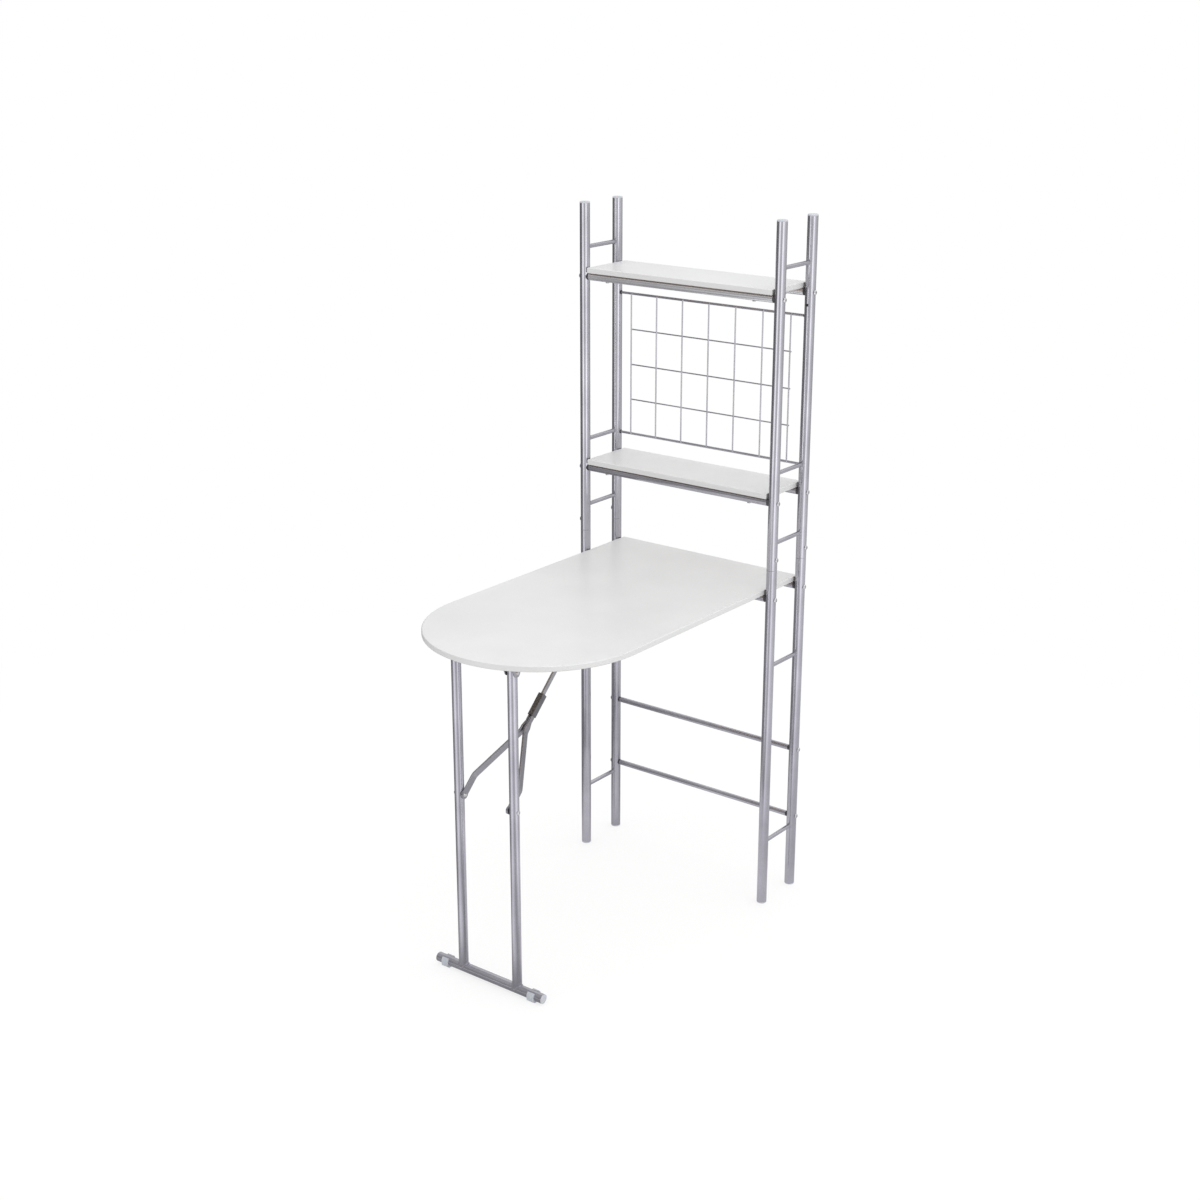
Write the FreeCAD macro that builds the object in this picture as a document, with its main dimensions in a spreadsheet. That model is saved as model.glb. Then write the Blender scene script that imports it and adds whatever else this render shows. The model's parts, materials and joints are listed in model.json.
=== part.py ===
import FreeCAD, Part
import math
import os
from types import SimpleNamespace

import Sketcher

# A kitchen table whose long round-ended top is carried by a slim shelf rack at one end
# and by a folding leg at the other. X runs along the shelves, -Y towards the round end,
# Z up from the floor. The origin is on the floor under the middle of the whole table.

doc = FreeCAD.newDocument("FoldingKitchenTable")
sheet = doc.addObject("Spreadsheet::Sheet", "sizes")

driving_sizes = [
    ("rack_height", 1500, "floor to the tops of the post caps"),
    ("post_span", 495, "post centres, left to right"),
    ("post_gap", 115, "post centres, front to rear"),
    ("post_diameter", 22, "post tube"),
    ("post_wall", 1.2, "post tube wall"),
    ("seam_rise", 45, "upper face of the table top to the joint of the post halves"),
    ("seam_chamfer", 0.5, "edge of a post half where it meets the other"),
    ("spigot_length", 90, "inner sleeve that joins two post halves"),
    ("seam_bolt_rise", 23, "seam up to the bolt that holds the sleeve"),
    ("cap_lip", 3, "height of a post cap or foot outside its tube"),
    ("cap_stem", 15, "depth of a post cap or foot inside its tube"),
    ("cap_round", 1.6, "rounding of caps and feet"),
    ("rung_diameter", 9, "ladder rung rod"),
    ("foot_rung_height", 146, "floor to rung"),
    ("knee_rung_drop", 172, "upper face of the table top down to rung"),
    ("desk_rung_rise", 101.5, "upper face of the table top up to rung"),
    ("shelf_rung_rise", 42, "upper face of a shelf up to rung"),
    ("board_thickness", 12, "table top and shelves"),
    ("board_side_gap", 2, "board edge to post"),
    ("board_edge_round", 2, "rounding of the board edges"),
    ("top_height", 730, "floor to the upper face of the table top"),
    ("top_length", 826, "table top, rear edge to round end"),
    ("lower_shelf_rise", 210, "upper faces, table top to lower shelf"),
    ("upper_shelf_drop", 138, "tops of the post caps down to the upper face"),
    ("rail_diameter", 16, "tube under a board"),
    ("rail_wall", 1.2, "rail and crossbar tube wall"),
    ("crossbar_diameter", 12, "rear brace tube"),
    ("upper_crossbar_height", 330, "floor to the tube's axis"),
    ("lower_crossbar_height", 169, "floor to the tube's axis"),
    ("plug_flange", 3, "rail end to post, filled by the plug's saddle"),
    ("plug_depth", 14, "plug inside the rail"),
    ("bolt_diameter", 6, "shank of rail and seam bolts"),
    ("bolt_head_diameter", 10.5, "button head"),
    ("bolt_head_height", 3, "button head"),
    ("screw_diameter", 4, "wood screw"),
    ("screw_head_diameter", 7.5, "pan head"),
    ("screw_head_height", 2.2, "pan head"),
    ("screw_bite", 8, "screw inside a board"),
    ("screw_inset", 48, "board end to a rail screw"),
    ("carrier_wire", 5.5, "upper and lower wire of the grid"),
    ("mesh_wire", 3, "thin wires of the grid"),
    ("weld_bite", 0.4, "wires sunk into each other at a weld"),
    ("wire_end_depth", 4, "carrier wire inside the post tube"),
    ("grid_drop", 69, "upper shelf down to the upper carrier wire"),
    ("grid_rise", 39, "lower shelf up to the lower carrier wire"),
    ("grid_pitch", 68.5, "upright wires, centre to centre"),
    ("leg_inset", 65, "round end of the top to the leg"),
    ("leg_span", 144, "leg tube centres"),
    ("leg_diameter", 20, "leg and foot bar tube"),
    ("leg_wall", 1.2, "leg and foot bar tube wall"),
    ("leg_end_rise", 9, "leg pivot to the tube's upper end"),
    ("leg_plug_lip", 2, "plug outside the tube"),
    ("leg_plug_stem", 4, "plug inside the upper end of a leg tube"),
    ("hinge_drop", 20, "underside of the top to the leg and brace pivots"),
    ("foot_bar_length", 285, "with its end plugs"),
    ("foot_plug_stem", 14, "plug inside the foot bar"),
    ("pad_span", 230, "foot pad centres"),
    ("pad_width", 17, "along the foot bar"),
    ("pad_wall", 2.4, "around the foot bar"),
    ("pad_sole", 9, "flat under a pad, front to rear"),
    ("bracket_plate", 2, "sheet thickness of the brackets"),
    ("ear_radius", 9, "round end of a bracket ear"),
    ("leg_bracket_length", 52, "front to rear"),
    ("anchor_bracket_length", 34, "front to rear"),
    ("anchor_bracket_width", 44, "left to right"),
    ("pivot_diameter", 5, "pins of the leg and brace"),
    ("pivot_head_diameter", 9, "heads of those pins"),
    ("pivot_head_height", 2.4, "heads of those pins"),
    ("nut_width", 9, "across the corners"),
    ("nut_height", 3.6, "along the pin"),
    ("side_gap", 0.5, "leg tube to bracket ear"),
    ("brace_reach", 300, "leg pivot to brace anchor, level"),
    ("brace_drop", 293, "leg pivot down to the brace pivot"),
    ("link_length", 213, "anchor to knuckle"),
    ("link_width", 10, "flat bar"),
    ("link_thickness", 4, "flat bar"),
    ("layer_gap", 0.2, "between flat links that lie side by side"),
    ("tongue_thickness", 3, "narrow upper end of an arm"),
    ("tongue_length", 20, "knuckle to the end of the flat"),
    ("arm_width", 17, "brace arm, a flat bar with round edges"),
    ("arm_thickness", 5, "brace arm"),
    ("arm_taper_length", 14, "tongue to the full width of the bar"),
    ("arm_straight", 45, "bend to leg pivot"),
    ("arm_neck", 10, "full bar before it spreads"),
    ("arm_bend_radius", 22, "at the middle of the bar"),
    ("eye_gap", 0.4, "eye to leg tube"),
    ("sleeve_length", 50, "lock sleeve"),
    ("sleeve_wall", 1.2, "lock sleeve"),
    ("sleeve_corner", 2, "outer corner rounding"),
    ("sleeve_side_gap", 0.3, "tongue face to sleeve"),
    ("sleeve_edge_gap", 1.25, "tongue edge to sleeve, room for the knuckle to break"),
    ("sleeve_cover", 8, "sleeve below the knuckle when locked"),
    ("fit_gap", 0.05, "radial gap of pins, bolts, plugs and wires in their holes"),
    ("rest_gap", 0.3, "table top to the rear rail that it rests on"),
    ("cut_overrun", 5, "how far a cutting shape passes the face that it cuts"),
]
head_taper_share = 0.62
screw_place_share = 0.68
lip_side_share = 0.65
lip_notch_share = 0.6
mesh_rows = 3
mesh_columns = 7

for row, (alias, number, note) in enumerate(driving_sizes, start=1):
    sheet.set(f"A{row}", alias)
    sheet.set(f"B{row}", str(number))
    sheet.set(f"C{row}", note)
    sheet.setAlias(f"B{row}", alias)
doc.recompute()


def amount(length):
    return length.number if isinstance(length, Size) else length


class Size:
    """A length that keeps its number and the sheet formula that it comes from."""

    def __init__(self, number, formula):
        self.number = number
        self.formula = formula

    def joined(self, sign, other, number):
        text = other.formula if isinstance(other, Size) else str(other)
        return Size(number, f"({self.formula} {sign} {text})")

    def __add__(self, other):
        return self.joined("+", other, self.number + amount(other))

    def __sub__(self, other):
        return self.joined("-", other, self.number - amount(other))

    def __mul__(self, factor):
        return self.joined("*", factor, self.number * factor)

    def __truediv__(self, factor):
        return self.joined("/", factor, self.number / factor)

    def __rsub__(self, other):
        return -self + other

    def __neg__(self):
        return self * -1

    __radd__ = __add__
    __rmul__ = __mul__


size = SimpleNamespace(**{
    alias: Size(float(sheet.get(alias)), f"sizes.{alias}") for alias, number, note in driving_sizes
})
nodes = []


def bind(thing, prop, length):
    if isinstance(length, Size):
        thing.setExpression(prop, length.formula)


def place(thing, x, y, z, turn=FreeCAD.Rotation()):
    thing.Placement = FreeCAD.Placement(FreeCAD.Vector(amount(x), amount(y), amount(z)), turn)
    for axis, length in zip("xyz", (x, y, z)):
        bind(thing, f"Placement.Base.{axis}", length)
    return thing


def node(label, thing):
    thing.Label = label
    nodes.append(thing)
    return thing


x_axis = FreeCAD.Vector(1, 0, 0)
y_axis = FreeCAD.Vector(0, 1, 0)
turns = {
    "+x": FreeCAD.Rotation(y_axis, 90),
    "-x": FreeCAD.Rotation(y_axis, -90),
    "+y": FreeCAD.Rotation(x_axis, -90),
    "+z": FreeCAD.Rotation(),
    "-z": FreeCAD.Rotation(x_axis, 180),
}


def rod(name, diameter, length, x, y, z, towards="+z"):
    thing = doc.addObject("Part::Cylinder", name)
    bind(thing, "Radius", diameter / 2)
    bind(thing, "Height", length)
    return place(thing, x, y, z, turns[towards])


def head(name, diameter, height, x, y, z, towards):
    """A button head: a short cone whose wide end seats on the face."""
    thing = doc.addObject("Part::Cone", name)
    bind(thing, "Radius1", diameter / 2)
    bind(thing, "Radius2", diameter / 2 * head_taper_share)
    bind(thing, "Height", height)
    return place(thing, x, y, z, turns[towards])


def block(name, length, width, height, x, y, z):
    thing = doc.addObject("Part::Box", name)
    bind(thing, "Length", length)
    bind(thing, "Width", width)
    bind(thing, "Height", height)
    return place(thing, x, y, z)


def group(name, things):
    thing = doc.addObject("Part::Compound", name)
    thing.Links = things
    return thing


def fuse(name, things):
    thing = doc.addObject("Part::MultiFuse", name)
    thing.Shapes = things
    return thing


def cut(name, base, tools):
    thing = doc.addObject("Part::Cut", name)
    thing.Base = base
    thing.Tool = tools[0] if len(tools) == 1 else group(f"{name}_tools", tools)
    return thing


def pin_corner(sketch, element, point, x, y):
    """Holds a sketch point at (x, y), or on an axis where a coordinate is zero."""
    for kind, axis, length in (("DistanceX", -2, x), ("DistanceY", -1, y)):
        if amount(length) == 0:
            sketch.addConstraint(Sketcher.Constraint("PointOnObject", element, point, axis))
            continue
        index = sketch.addConstraint(Sketcher.Constraint(kind, element, point, amount(length)))
        bind(sketch, f"Constraints[{index}]", length)


def outline(body, role, corners, arcs):
    """A closed outline, counter-clockwise. arcs gives a middle point and a centre height."""
    sketch = body.newObject("Sketcher::SketchObject", f"{body.Name}_outline")
    plane = next(item for item in body.Origin.OriginFeatures if item.Role == role)
    sketch.AttachmentSupport = [(plane, "")]
    sketch.MapMode = "FlatFace"
    spots = [FreeCAD.Vector(amount(x), amount(y), 0) for x, y in corners]
    for index, start in enumerate(spots):
        end = spots[(index + 1) % len(spots)]
        if index in arcs:
            middle_x, middle_y, centre_y = arcs[index]
            middle = FreeCAD.Vector(amount(middle_x), amount(middle_y), 0)
            sketch.addGeometry(Part.Arc(start, middle, end))
        else:
            sketch.addGeometry(Part.LineSegment(start, end))
    for index, (x, y) in enumerate(corners):
        pin_corner(sketch, index, 1, x, y)
        following = (index + 1) % len(corners)
        sketch.addConstraint(Sketcher.Constraint("Coincident", index, 2, following, 1))
    for index, (middle_x, middle_y, centre_y) in arcs.items():
        if amount(centre_y) == 0:
            sketch.addConstraint(Sketcher.Constraint("PointOnObject", index, 3, -1))
            continue
        held = sketch.addConstraint(Sketcher.Constraint("DistanceY", index, 3, amount(centre_y)))
        bind(sketch, f"Constraints[{held}]", centre_y)
    return sketch


def padded(name, role, corners, arcs, length):
    body = doc.addObject("PartDesign::Body", name)
    pad = body.newObject("PartDesign::Pad", f"{name}_pad")
    pad.Profile = outline(body, role, corners, arcs)
    bind(pad, "Length", length)
    body.Tip = pad
    doc.recompute()
    return body, pad


def soften(body, pad, radius):
    fillet = body.newObject("PartDesign::Fillet", f"{body.Name}_fillet")
    fillet.Base = (pad, [f"Edge{index + 1}" for index in range(len(pad.Shape.Edges))])
    bind(fillet, "Radius", radius)
    body.Tip = fillet


sides = {"left": -1, "right": 1}
rear_y = size.top_length / 2 - size.post_diameter / 2
front_y = rear_y - size.post_gap
rows = {"front": front_y, "rear": rear_y}
post_x = size.post_span / 2
post_radius = size.post_diameter / 2
post_bore = size.post_diameter - size.post_wall * 2
bolt_hole = size.bolt_diameter + size.fit_gap * 2
pivot_hole = size.pivot_diameter + size.fit_gap * 2
board_width = size.post_span - size.post_diameter - size.board_side_gap * 2
underside = size.top_height - size.board_thickness
seam_z = size.top_height + size.seam_rise
seam_bolt_z = seam_z + size.seam_bolt_rise
lower_shelf_z = size.top_height + size.lower_shelf_rise
upper_shelf_z = size.rack_height - size.upper_shelf_drop
grid_top = upper_shelf_z - size.grid_drop
grid_bottom = lower_shelf_z + size.grid_rise
pivot_z = underside - size.hinge_drop
leg_y = size.leg_inset - size.top_length / 2
anchor_y = leg_y + size.brace_reach
rail_end = post_x - post_radius - size.plug_flange


def rail_height(board_height):
    return board_height - size.board_thickness - size.rail_diameter / 2


desk_rail_z = rail_height(size.top_height)

# Each rail: its post row, height, tube diameter and the post half that carries it.
rails = {
    "upper_shelf_rail_front": ("front", rail_height(upper_shelf_z), size.rail_diameter, "upper"),
    "upper_shelf_rail_rear": ("rear", rail_height(upper_shelf_z), size.rail_diameter, "upper"),
    "lower_shelf_rail_front": ("front", rail_height(lower_shelf_z), size.rail_diameter, "upper"),
    "lower_shelf_rail_rear": ("rear", rail_height(lower_shelf_z), size.rail_diameter, "upper"),
    "desk_rail_front": ("front", desk_rail_z, size.rail_diameter, "lower"),
    "desk_rail_rear": ("rear", desk_rail_z - size.rest_gap, size.rail_diameter, "lower"),
    "upper_crossbar": ("rear", size.upper_crossbar_height, size.crossbar_diameter, "lower"),
    "lower_crossbar": ("rear", size.lower_crossbar_height, size.crossbar_diameter, "lower"),
}


def across(name, diameter, side, inner, outer, y, z):
    """A rod along X on one side of the table, from |x| = inner to |x| = outer."""
    start = inner if side > 0 else -outer
    return rod(name, diameter, outer - inner, start, y, z, "+x")


def bolt(name, side, y, z, face, tip):
    """A button-head bolt whose head seats at |x| = face and whose shank ends at |x| = tip."""
    outwards = "+x" if side > 0 else "-x"
    parts = [
        head(f"{name}_head", size.bolt_head_diameter, size.bolt_head_height, face * side, y, z, outwards),
        across(f"{name}_shank", size.bolt_diameter, side, tip, face, y, z),
    ]
    return fuse(name, parts)


def ease_rim(name, tube, z, width):
    """Chamfers the rim of an upright rod at one height."""
    doc.recompute()
    thing = doc.addObject("Part::Chamfer", name)
    thing.Base = tube
    reach = amount(width)
    thing.Edges = [(index, reach, reach) for index, edge in enumerate(tube.Shape.Edges, start=1)
                   if abs(edge.CenterOfMass.z - amount(z)) < reach]
    return thing


def make_posts():
    levels = {
        "lower": (size.cap_lip, seam_z),
        "upper": (seam_z, size.rack_height - size.cap_lip),
    }
    outer_face = post_x + post_radius + size.cut_overrun
    inner_face = post_x - post_radius - size.cut_overrun
    for half, (bottom, top) in levels.items():
        for side_name, side in sides.items():
            for row_name, y in rows.items():
                name = f"post_{half}_{side_name}_{row_name}"
                tube = rod(f"{name}_tube", size.post_diameter, top - bottom, post_x * side, y, bottom)
                eased = ease_rim(f"{name}_eased", tube, seam_z, size.seam_chamfer)
                tools = [rod(f"{name}_bore", post_bore, top - bottom + size.cut_overrun * 2,
                             post_x * side, y, bottom - size.cut_overrun)]
                for rail, (rail_row, z, diameter, rail_half) in rails.items():
                    if rail_row == row_name and rail_half == half:
                        tools.append(across(f"{name}_hole", bolt_hole, side, inner_face, outer_face, y, z))
                if half == "upper":
                    tools.append(across(f"{name}_seam_hole", bolt_hole, side, post_x, outer_face,
                                        y, seam_bolt_z))
                    if row_name == "rear":
                        wire_hole = size.carrier_wire + size.fit_gap * 2
                        for z in (grid_top, grid_bottom):
                            tools.append(across(f"{name}_wire_hole", wire_hole, side, inner_face, post_x,
                                                y, z))
                node(name, cut(name, eased, tools))


def make_post_ends():
    """Caps on the tops, feet on the bottoms and the hidden sleeves that join the halves."""
    stem = post_bore - size.fit_gap * 2
    ends = {
        "post_caps": (size.rack_height - size.cap_lip, -size.cap_stem, size.rack_height),
        "post_feet": (0, size.cap_lip, 0),
    }
    for label, (lip_z, stem_shift, round_z) in ends.items():
        pieces = []
        for side_name, side in sides.items():
            for row_name, y in rows.items():
                name = f"{label}_{side_name}_{row_name}"
                lip = rod(f"{name}_lip", size.post_diameter, size.cap_lip, post_x * side, y, lip_z)
                plug = rod(f"{name}_stem", stem, size.cap_stem, post_x * side, y, lip_z + stem_shift)
                whole = fuse(f"{name}_whole", [lip, plug])
                pieces.append(round_rim(name, whole, round_z))
        node(label, group(label, pieces))
    sleeves = []
    bolts = []
    half_length = size.spigot_length / 2
    for side_name, side in sides.items():
        for row_name, y in rows.items():
            name = f"spigot_{side_name}_{row_name}"
            low = seam_z - half_length
            tube = rod(f"{name}_tube", stem, size.spigot_length, post_x * side, y, low)
            bore = rod(f"{name}_bore", stem - size.post_wall * 2, size.spigot_length + size.cut_overrun * 2,
                       post_x * side, y, low - size.cut_overrun)
            hole = across(f"{name}_hole", bolt_hole, side, post_x, post_x + post_radius, y, seam_bolt_z)
            sleeves.append(cut(name, tube, [bore, hole]))
            bolts.append(bolt(f"seam_bolt_{side_name}_{row_name}", side, y, seam_bolt_z,
                              post_x + post_radius, post_x + post_radius / 4))
    node("joint_spigots", group("joint_spigots", sleeves))
    node("seam_bolts", group("seam_bolts", bolts))


def round_rim(name, whole, z):
    """Rounds the circular edge at height z."""
    doc.recompute()
    thing = doc.addObject("Part::Fillet", name)
    thing.Base = whole
    rims = []
    for index, edge in enumerate(whole.Shape.Edges, start=1):
        box = edge.BoundBox
        flat = box.ZLength < box.XLength / 2
        if flat and abs(box.ZMin - amount(z)) < amount(size.fit_gap):
            rims.append((index, amount(size.cap_round), amount(size.cap_round)))
    thing.Edges = rims
    return thing


def make_rungs():
    """Rungs are coped to the posts that they are welded to."""
    heights = {
        "lower": (size.foot_rung_height, size.top_height - size.knee_rung_drop),
        "upper": (size.top_height + size.desk_rung_rise, lower_shelf_z + size.shelf_rung_rise,
                  upper_shelf_z + size.shelf_rung_rise),
    }
    for side_name, side in sides.items():
        posts = [rod(f"rung_cope_{side_name}_{row_name}", size.post_diameter, size.rack_height,
                     post_x * side, y, 0) for row_name, y in rows.items()]
        for half, levels in heights.items():
            name = f"rungs_{half}_{side_name}"
            bars = [rod(f"{name}_bar", size.rung_diameter, size.post_gap, post_x * side, front_y, z, "+y")
                    for z in levels]
            node(name, cut(name, group(f"{name}_bars", bars), posts))


def rail_screw_places():
    return {side_name: (board_width / 2 - size.screw_inset) * side for side_name, side in sides.items()}


def screw(name, x, y, face, board_face):
    """A pan-head screw that comes up through a face into the board above it."""
    parts = [
        head(f"{name}_head", size.screw_head_diameter, size.screw_head_height, x, y, face, "-z"),
        rod(f"{name}_shank", size.screw_diameter, board_face + size.screw_bite - face, x, y, face),
    ]
    return fuse(name, parts)


def screw_hole(name, x, y, low, high):
    return rod(name, size.screw_diameter + size.fit_gap * 2, high - low, x, y, low)


def make_rails():
    plugs = []
    pivot_plugs = []
    bolts = []
    pivot_bolts = []
    for label, (row_name, z, diameter, half) in rails.items():
        y = rows[row_name]
        bore = diameter - size.rail_wall * 2
        tube = rod(f"{label}_tube", diameter, rail_end * 2, -rail_end, y, z, "+x")
        tools = [rod(f"{label}_bore", bore, (rail_end + size.cut_overrun) * 2,
                     -rail_end - size.cut_overrun, y, z, "+x")]
        if label not in ("desk_rail_rear", "upper_crossbar", "lower_crossbar"):
            for side_name, x in rail_screw_places().items():
                tools.append(screw_hole(f"{label}_screw_hole", x, y, z - diameter, z + diameter))
        node(label, cut(label, tube, tools))
        for side_name, side in sides.items():
            name = f"{label}_plug_{side_name}"
            saddle = across(f"{name}_saddle", diameter, side, rail_end, post_x, y, z)
            shank = across(f"{name}_shank", bore - size.fit_gap * 2, side,
                           rail_end - size.plug_depth, rail_end, y, z)
            post = rod(f"{name}_cope", size.post_diameter, diameter * 2, post_x * side, y, z - diameter)
            hole = across(f"{name}_hole", bolt_hole, side, rail_end - size.plug_depth - size.cut_overrun,
                          post_x, y, z)
            plug = cut(name, fuse(f"{name}_whole", [saddle, shank]), [post, hole])
            screwed = bolt(f"{label}_bolt_{side_name}", side, y, z, post_x + post_radius,
                           rail_end - size.plug_depth)
            turning = label == "desk_rail_front"
            (pivot_plugs if turning else plugs).append(plug)
            (pivot_bolts if turning else bolts).append(screwed)
    node("rail_end_plugs", group("rail_end_plugs", plugs))
    node("desk_pivot_plugs", group("desk_pivot_plugs", pivot_plugs))
    node("rail_bolts", group("rail_bolts", bolts))
    node("desk_pivot_bolts", group("desk_pivot_bolts", pivot_bolts))


def make_shelves():
    depth = size.post_gap + size.post_diameter
    for label, height in (("upper_shelf", upper_shelf_z), ("lower_shelf", lower_shelf_z)):
        low = height - size.board_thickness
        half_width = board_width / 2
        near = front_y - post_radius
        far = near + depth
        corners = [(-half_width, near), (half_width, near), (half_width, far), (-half_width, far)]
        body, pad = padded(f"{label}_board", "XY_Plane", corners, {}, size.board_thickness)
        soften(body, pad, size.board_edge_round)
        place(body, 0, 0, low)
        holes = []
        screws = []
        for row_name, y in rows.items():
            for side_name, x in rail_screw_places().items():
                name = f"{label}_screw_{side_name}_{row_name}"
                screws.append(screw(name, x, y, low - size.rail_diameter, low))
                holes.append(screw_hole(f"{name}_hole", x, y, low - size.cut_overrun,
                                        low + size.screw_bite + size.fit_gap))
        node(label, cut(label, body, holes))
        node(f"{label}_screws", group(f"{label}_screws", screws))


def make_grid():
    """Two carrier wires held in the rear posts, with a welded mesh between them."""
    half_span = post_x - post_radius + size.post_wall + size.wire_end_depth
    upright_y = rear_y - size.carrier_wire / 2 - size.mesh_wire / 2 + size.weld_bite
    row_y = upright_y + size.mesh_wire - size.weld_bite
    mesh_half = size.grid_pitch * ((mesh_columns - 1) / 2) + size.mesh_wire / 2
    wires = [rod("carrier_wire", size.carrier_wire, half_span * 2, -half_span, rear_y, z, "+x")
             for z in (grid_top, grid_bottom)]
    for column in range(mesh_columns):
        x = size.grid_pitch * (column - (mesh_columns - 1) / 2)
        wires.append(rod("upright_wire", size.mesh_wire, grid_top - grid_bottom,
                         x, upright_y, grid_bottom))
    for row in range(1, mesh_rows + 1):
        z = grid_bottom + (grid_top - grid_bottom) * (row / (mesh_rows + 1))
        wires.append(rod("row_wire", size.mesh_wire, mesh_half * 2, -mesh_half, row_y, z, "+x"))
    node("wire_grid", fuse("wire_grid", wires))


def bracket(name, x, y, width, length, channel, screw_places):
    """A folded bracket under the top: a plate with two ears that hold a pivot pin."""
    half = length / 2
    drop = size.hinge_drop
    corners = [(-half, 0), (-size.ear_radius, -drop), (size.ear_radius, -drop), (half, 0)]
    arcs = {1: (0, -drop - size.ear_radius, -drop)}
    ear_width = channel + size.bracket_plate * 2
    ears, pad = padded(f"{name}_ears", "YZ_Plane", corners, arcs, ear_width)
    place(ears, x - ear_width / 2, y, underside)
    plate_z = underside - size.bracket_plate
    plate = block(f"{name}_plate", width, length, size.bracket_plate, x - width / 2, y - half, plate_z)
    reach = drop + size.ear_radius + size.cut_overrun
    tools = [
        block(f"{name}_channel", channel, length + size.cut_overrun * 2, reach,
              x - channel / 2, y - half - size.cut_overrun, plate_z - reach),
        rod(f"{name}_pin_hole", pivot_hole, ear_width + size.cut_overrun * 2,
            x - ear_width / 2 - size.cut_overrun, y, pivot_z, "+x"),
    ]
    for index, (screw_x, screw_y) in enumerate(screw_places):
        tools.append(screw_hole(f"{name}_screw_hole_{index}", screw_x, screw_y,
                                plate_z - size.cut_overrun, underside + size.cut_overrun))
    return cut(name, fuse(f"{name}_whole", [plate, ears]), tools)


def pivot_bolt(name, side, x, y, z, grip):
    """A pin through two ears with its head on one side and a nut on the other."""
    head_x = x + grip / 2 * side
    tip = x - (grip / 2 + size.nut_height) * side
    outwards = "+x" if side > 0 else "-x"
    length = grip + size.nut_height
    start = tip if side > 0 else head_x
    pin = fuse(name, [
        head(f"{name}_head", size.pivot_head_diameter, size.pivot_head_height, head_x, y, z, outwards),
        rod(f"{name}_shank", size.pivot_diameter, length, start, y, z, "+x"),
    ])
    hexagon = doc.addObject("Part::Prism", f"{name}_hexagon")
    hexagon.Polygon = 6
    bind(hexagon, "Circumradius", size.nut_width / 2)
    bind(hexagon, "Height", size.nut_height)
    place(hexagon, tip if side > 0 else tip - size.nut_height, y, z, turns["+x"])
    hole = rod(f"{name}_nut_hole", pivot_hole, length + size.cut_overrun * 2,
               start - size.cut_overrun, y, z, "+x")
    return pin, cut(f"{name}_nut", hexagon, [hole])


def make_top():
    """The round-ended board, its turning rail, and the brackets of the leg and brace."""
    half_width = board_width / 2
    rear = size.top_length / 2
    centre_y = half_width - rear
    corners = [(-half_width, centre_y), (half_width, centre_y), (half_width, rear), (-half_width, rear)]
    round_end = {0: (0, -rear, centre_y)}
    body, pad = padded("table_top_board", "XY_Plane", corners, round_end, size.board_thickness)
    soften(body, pad, size.board_edge_round)
    place(body, 0, 0, underside)

    rail_screws = {side_name: (x, front_y) for side_name, x in rail_screw_places().items()}
    leg_channel = size.leg_diameter + size.side_gap * 2
    leg_grip = leg_channel + size.bracket_plate * 2
    screw_reach = size.leg_bracket_length / 2 * screw_place_share
    plate_face = underside - size.bracket_plate
    screws = [screw(f"top_screw_{side_name}", x, y, underside - size.rail_diameter, underside)
              for side_name, (x, y) in rail_screws.items()]
    places = list(rail_screws.values())
    bracket_screws = []
    pins = []
    nuts = []
    for side_name, side in sides.items():
        x = size.leg_span / 2 * side
        spots = [(x, leg_y - screw_reach), (x, leg_y + screw_reach)]
        label = f"leg_hinge_bracket_{side_name}"
        node(label, bracket(label, x, leg_y, leg_grip, size.leg_bracket_length, leg_channel, spots))
        pin, nut = pivot_bolt(f"leg_hinge_bolt_{side_name}", side, x, leg_y, pivot_z, leg_grip)
        pins.append(pin)
        nuts.append(nut)
        bracket_screws += spots
    anchor_channel = size.link_thickness + size.layer_gap * 2
    anchor_grip = anchor_channel + size.bracket_plate * 2
    half_spread = size.anchor_bracket_width / 2 * screw_place_share
    spots = [(half_spread * side, anchor_y) for side in sides.values()]
    label = "brace_anchor_bracket"
    node(label, bracket(label, 0, anchor_y, size.anchor_bracket_width, size.anchor_bracket_length,
                        anchor_channel, spots))
    pin, nut = pivot_bolt("brace_anchor_bolt", 1, 0, anchor_y, pivot_z, anchor_grip)
    pins.append(pin)
    nuts.append(nut)
    bracket_screws += spots
    heads = [screw(f"bracket_screw_{index}", x, y, plate_face, underside)
             for index, (x, y) in enumerate(bracket_screws)]
    holes = [screw_hole(f"top_hole_{index}", x, y, underside - size.cut_overrun,
                        underside + size.screw_bite + size.fit_gap)
             for index, (x, y) in enumerate(places + bracket_screws)]
    node("table_top", cut("table_top", body, holes))
    node("top_rail_screws", group("top_rail_screws", screws))
    node("bracket_screws", group("bracket_screws", heads))
    node("pivot_bolts", group("pivot_bolts", pins))
    node("pivot_nuts", group("pivot_nuts", nuts))


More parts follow.
